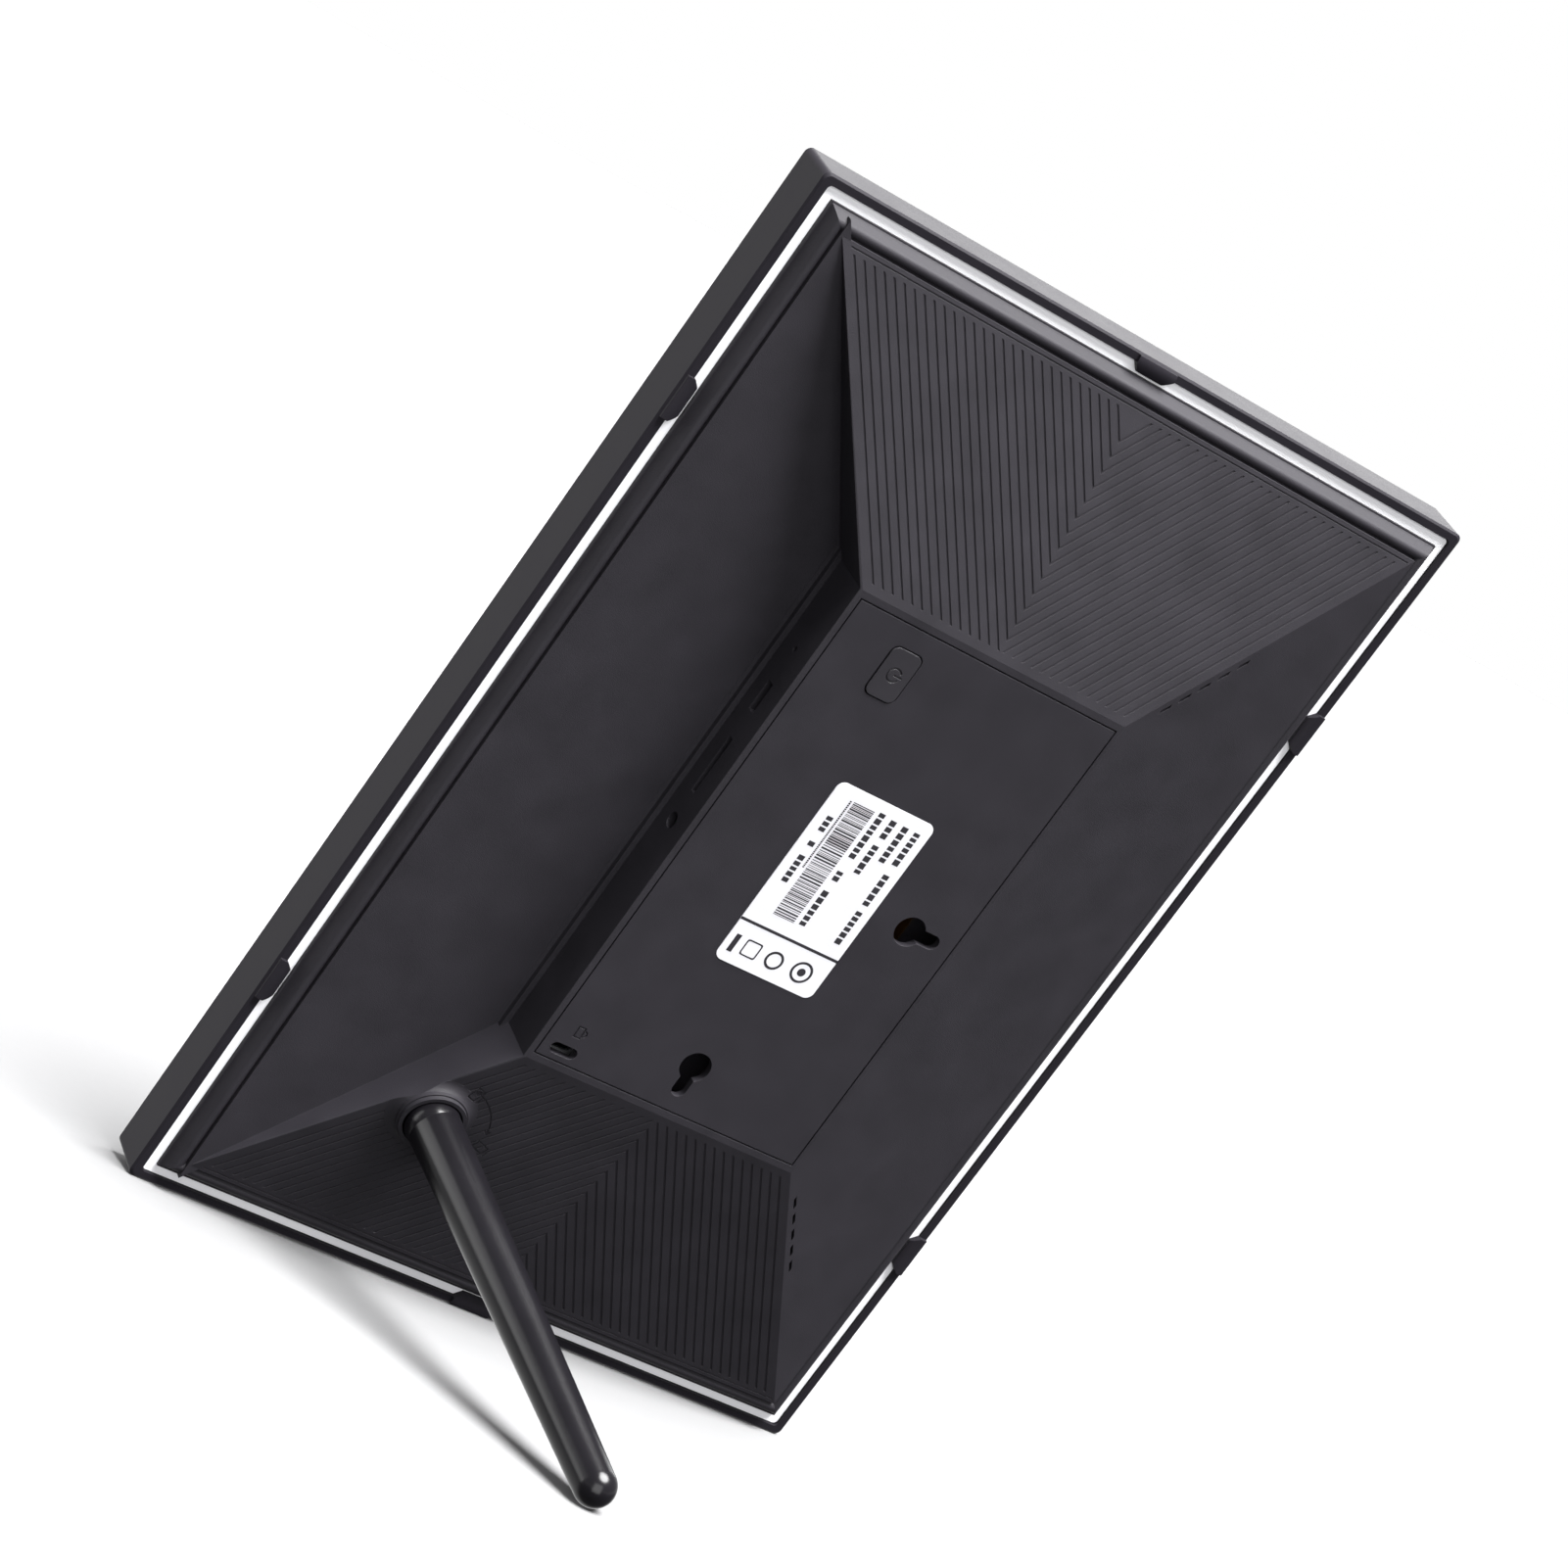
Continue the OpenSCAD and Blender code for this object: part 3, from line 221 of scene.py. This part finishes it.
moulded("print_black", grey(0.012), grey(0.02), rough=(0.5, 0.6), grain=5000,
        grain_depth=0.000002, soft_edge=0.0)

for part in frame["record"]["subparts"]:
    slots = nodes[part["node"]].data.materials
    slots.clear()
    slots.append(LOOKS[part["material_slot"]])


# ---------------------------------------------------------------- printed label
# Sizes on the label are in mm: a from its far end, b from its edge at the sockets.
PRINT_THICK = 0.00002
DIVIDING_LINE = (37.35, 38.05)
# The stripe pattern's two ends, its two edges, and the widths and gaps that it picks from.
STRIPE_ENDS = (3.1, 34.0)
STRIPE_EDGES = (5.9, 11.6)
STRIPE_WIDTHS = (0.14, 0.14, 0.22, 0.3, 0.42)
STRIPE_GAPS = (0.16, 0.2, 0.3, 0.38)
# A row of blocks is its two edges, the ends of each run of blocks, and the least and most width.
WIDE_BLOCKS = (0.9, 1.5)
FINE_BLOCKS = (0.25, 0.45)
ROWS = (
    (2.5, 4.1, ((8.4, 13.6), (15.2, 17.6), (19.0, 27.2)), WIDE_BLOCKS),
    (4.9, 5.35, ((3.2, 21.5),), FINE_BLOCKS),
    (12.8, 14.4, ((2.6, 15.8), (18.6, 21.2), (24.0, 34.0)), WIDE_BLOCKS),
    (16.2, 17.8, ((3.0, 8.2), (9.8, 17.4)), WIDE_BLOCKS),
    (19.6, 21.2, ((3.1, 13.6),), WIDE_BLOCKS),
    (22.9, 24.5, ((3.2, 13.0), (14.8, 23.4), (25.0, 34.6)), WIDE_BLOCKS),
)
# Gap between blocks, as a share of the widest block.
BLOCK_GAP = 0.28
SQUARE_POWER = 8

label = spans("rating_label", ORIGIN)
label_top = label[2][1]
label_wide = (label[0][1] - label[0][0]) / MM


def thin_piece(name, outlines, height, thick, look, body):
    """Flat shapes, each an outline with an optional hole outline, as one thin raised mesh."""
    mesh = bpy.data.meshes.new(name)
    bm = bmesh.new()

    def rings(outline):
        """The outline's points at the bottom and at the top of the piece."""
        return [[bm.verts.new(LOCAL @ Vector((x, y, height + h))) for x, y in outline]
                for h in (0, thick)]

    for outer, inner in outlines:
        low, high = rings(outer)
        count = len(outer)
        walls = [(low, high)]
        if inner:
            low_hole, high_hole = rings(inner)
            walls.append((high_hole, low_hole))
            for i in range(count):
                j = (i + 1) % count
                bm.faces.new((high[i], high[j], high_hole[j], high_hole[i]))
                bm.faces.new((low[j], low[i], low_hole[i], low_hole[j]))
        else:
            bm.faces.new(high)
            bm.faces.new(list(reversed(low)))
        for start, stop in walls:
            for i in range(count):
                j = (i + 1) % count
                bm.faces.new((start[i], start[j], stop[j], stop[i]))
    bmesh.ops.recalc_face_normals(bm, faces=bm.faces)
    bm.to_mesh(mesh)
    bm.free()
    obj = show(name, mesh)
    obj.data.materials.append(LOOKS[look])
    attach(obj, body)
    return obj


def on_label(a, b):
    return label[0][0] + b * MM, label[1][1] - a * MM


def block(a0, a1, b0, b1):
    """Outline of a rectangle on the label."""
    return [on_label(a0, b0), on_label(a1, b0), on_label(a1, b1), on_label(a0, b1)]


def rounded(a, b, radius, power=2.0, turns=32):
    """Outline of a round shape on the label, squarer with a higher power."""
    points = []
    for t in range(turns):
        c, s = math.cos(2 * math.pi * t / turns), math.sin(2 * math.pi * t / turns)
        x = radius * math.copysign(abs(c) ** (2 / power), c)
        y = radius * math.copysign(abs(s) ** (2 / power), s)
        points.append(on_label(a + x, b + y))
    return points


dice = random.Random(7)
marks = [(block(*DIVIDING_LINE, 0.0, label_wide), None)]
# Stripe pattern with no meaning, made of random widths.
a = STRIPE_ENDS[0]
while a < STRIPE_ENDS[1]:
    wide = dice.choice(STRIPE_WIDTHS)
    marks.append((block(a, a + wide, *STRIPE_EDGES), None))
    a += wide + dice.choice(STRIPE_GAPS)
# Rows of plain blocks that stand for the printed lines.
for b0, b1, runs, widths in ROWS:
    for start, stop in runs:
        a = start
        while a < stop - widths[0]:
            wide = dice.uniform(*widths)
            marks.append((block(a, min(a + wide, stop), b0, b1), None))
            a += wide + BLOCK_GAP * widths[1]
# Plain shapes beyond the dividing line: a bar, a square, a ring and a dot in a ring.
marks.append((block(41.4, 46.0, 1.7, 3.0), None))
marks.append((rounded(43.5, 6.9, 2.1, SQUARE_POWER), rounded(43.5, 6.9, 1.75, SQUARE_POWER)))
marks.append((rounded(43.6, 13.3, 2.3), rounded(43.6, 13.3, 1.7)))
marks.append((rounded(43.4, 20.8, 2.7), rounded(43.4, 20.8, 2.1)))
marks.append((rounded(43.4, 20.8, 1.0), None))
thin_piece("label_print", marks, label_top, PRINT_THICK, "print_black", "frame_body")


# ---------------------------------------------------------------- floor
FLOOR_RINGS = (0.5, 1, 2, 5, 12, 40)


def disc(name, radii, turns=96):
    """A flat round floor with rings of faces."""
    mesh = bpy.data.meshes.new(name)
    bm = bmesh.new()
    middle = bm.verts.new((0, 0, 0))
    angles = [2 * math.pi * t / turns for t in range(turns)]
    rings = [[bm.verts.new((r * math.cos(t), r * math.sin(t), 0)) for t in angles] for r in radii]
    for t in range(turns):
        after = (t + 1) % turns
        bm.faces.new((middle, rings[0][t], rings[0][after]))
        for inner, outer in zip(rings, rings[1:]):
            bm.faces.new((inner[t], outer[t], outer[after], inner[after]))
    bm.to_mesh(mesh)
    bm.free()
    return show(name, mesh)


floor = disc("stage_floor", FLOOR_RINGS)
floor.data.materials.append(moulded("stage_white", (0.216, 0.216, 0.218), (0.222, 0.222, 0.224),
                                    rough=(0.85, 0.95), grain=300, grain_depth=0.0, mottle=0.5,
                                    soft_edge=0.0, specular=0.0))
# The floor isn't mirrored in the object and casts no light on it.
floor.visible_diffuse = False
floor.visible_glossy = False

# ---------------------------------------------------------------- surroundings and lights
# A dim room on the side of the back, each stop a height from 0, straight down, to 1, straight up,
# and its colour. The white band at the horizon hides the far edge of the floor.
ROOM = (
    (0.44, (0.16, 0.16, 0.165)),
    (0.485, (0.2, 0.2, 0.2)),
    (0.492, (1.0, 1.0, 1.0)),
    (0.52, (1.0, 1.0, 1.0)),
    (0.55, (0.38, 0.38, 0.38)),
    (0.60, (0.40, 0.40, 0.41)),
)
# A white backdrop stands on the screen's side. It starts to show at the first of these values of
# a direction's Y, and shows in full at the second.
BACKDROP = (-0.15, -0.55)
SUN_POWER = 16.0
SUN_WIDTH = 42
SUN_FROM = (-0.12, 0.36, 0.925)
# Each soft light: its direction from the object, distance in m, size in m and power in W.
SOFTBOXES = (
    ("light_side", (0.9, -0.42, 0.10), 1.5, (1.0, 1.1), 12),
    ("light_back", (0.25, 0.95, 0.05), 2.0, (1.6, 1.6), 30),
    ("light_far", (-0.507, -0.741, 0.439), 2.4, (1.6, 1.6), 26),
)
AIM = Vector((0, 0, 0.13))

world = bpy.data.worlds.new("studio")
scene.world = world
world.use_nodes = True
sky_tree = world.node_tree
sky = sky_tree.nodes["Background"]
parts = add(sky_tree, "SeparateXYZ")
join(sky_tree, add(sky_tree, "TexCoord"), "Generated", parts, "Vector")
height = add(sky_tree, "MapRange", in_From_Min=-1.0, in_From_Max=1.0)
join(sky_tree, parts, "Z", height, "Value")
room = ramp(sky_tree, ROOM)
join(sky_tree, height, "Result", room, "Fac")
behind = add(sky_tree, "MapRange", interpolation_type="SMOOTHSTEP", in_From_Min=BACKDROP[0],
             in_From_Max=BACKDROP[1])
join(sky_tree, parts, "Y", behind, "Value")
backdrop = add(sky_tree, "MixRGB", in_Color2=(1, 1, 1, 1))
join(sky_tree, behind, "Result", backdrop, "Fac")
join(sky_tree, room, "Color", backdrop, "Color1")
join(sky_tree, backdrop, "Color", sky, "Color")
sky.inputs["Strength"].default_value = 1.0


def shine(obj, direction):
    """Turn a light so that it shines along a direction."""
    obj.rotation_euler = direction.to_track_quat("-Z", "Y").to_euler()


sun = bpy.data.lights.new("light_key", "SUN")
sun.energy = SUN_POWER
sun.angle = math.radians(SUN_WIDTH)
shine(show("light_key", sun), -Vector(SUN_FROM))
for name, direction, distance, size, power in SOFTBOXES:
    light = bpy.data.lights.new(name, "AREA")
    light.shape = "RECTANGLE"
    light.size, light.size_y = size
    light.energy = power
    box = show(name, light)
    box.location = AIM + Vector(direction).normalized() * distance
    shine(box, AIM - box.location)
scene.view_settings.view_transform = "Standard"

# ---------------------------------------------------------------- camera
# Place, viewing direction and rightward direction in the local axes, in metres.
CAMERA_PLACE = (-0.54092, 0.30294, 0.86184)
CAMERA_LOOK = (0.50668, -0.27917, -0.81569)
CAMERA_RIGHT = (0.77384, 0.56437, 0.28753)

camera = show("camera", bpy.data.cameras.new("camera"))
camera.data.sensor_width = 36.0
camera.data.lens = 111.107
camera.data.clip_start = 0.05
camera.data.clip_end = 60.0
place = LOCAL @ Vector(CAMERA_PLACE)
look = (LOCAL.to_3x3() @ Vector(CAMERA_LOOK)).normalized()
right = LOCAL.to_3x3() @ Vector(CAMERA_RIGHT)
right = (right - look * right.dot(look)).normalized()
up = right.cross(look)
camera.matrix_world = Matrix((
    (right.x, up.x, -look.x, place.x),
    (right.y, up.y, -look.y, place.y),
    (right.z, up.z, -look.z, place.z),
    (0, 0, 0, 1),
))
scene.camera = camera
